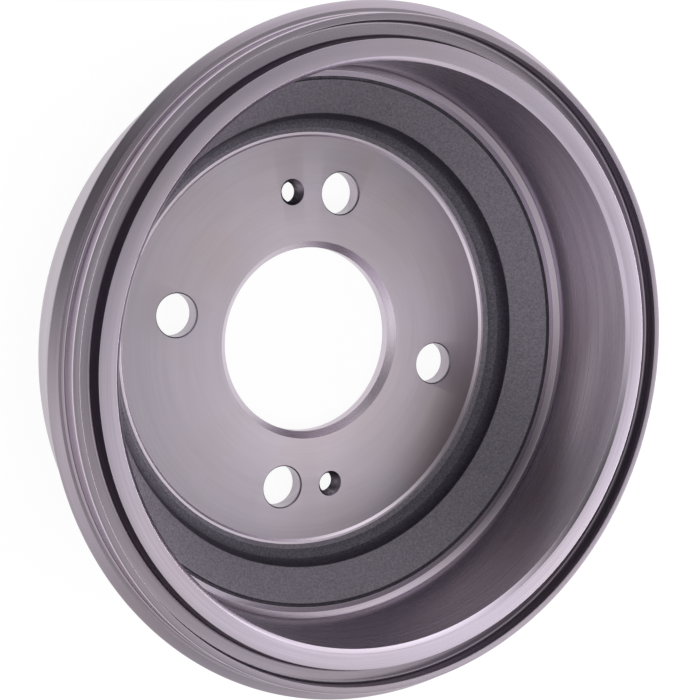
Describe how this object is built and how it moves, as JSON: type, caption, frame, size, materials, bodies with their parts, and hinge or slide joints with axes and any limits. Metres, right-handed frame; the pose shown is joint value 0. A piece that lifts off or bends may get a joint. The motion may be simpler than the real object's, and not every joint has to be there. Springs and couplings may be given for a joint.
{
  "type": "brake drum",
  "caption": "Hat-section brake drum, open at one end, with a turned web, stud holes, tapped jacking holes and a grooved, lipped rim.",
  "frame": {"origin": "centre of the hub bore, in the plane of the wheel face, which is the face the drum stands on", "axes": "+Z along the drum's axis, from the wheel face to the open end; stud holes on the X and Y axes"},
  "size_m": [0.2164, 0.2164, 0.061],
  "materials": {
    "turned_iron": "turned, with bare casting on the shoulder and the outside"
  },
  "bodies": {
    "root": {"brake_drum": "turned_iron"}
  },
  "joints": []
}
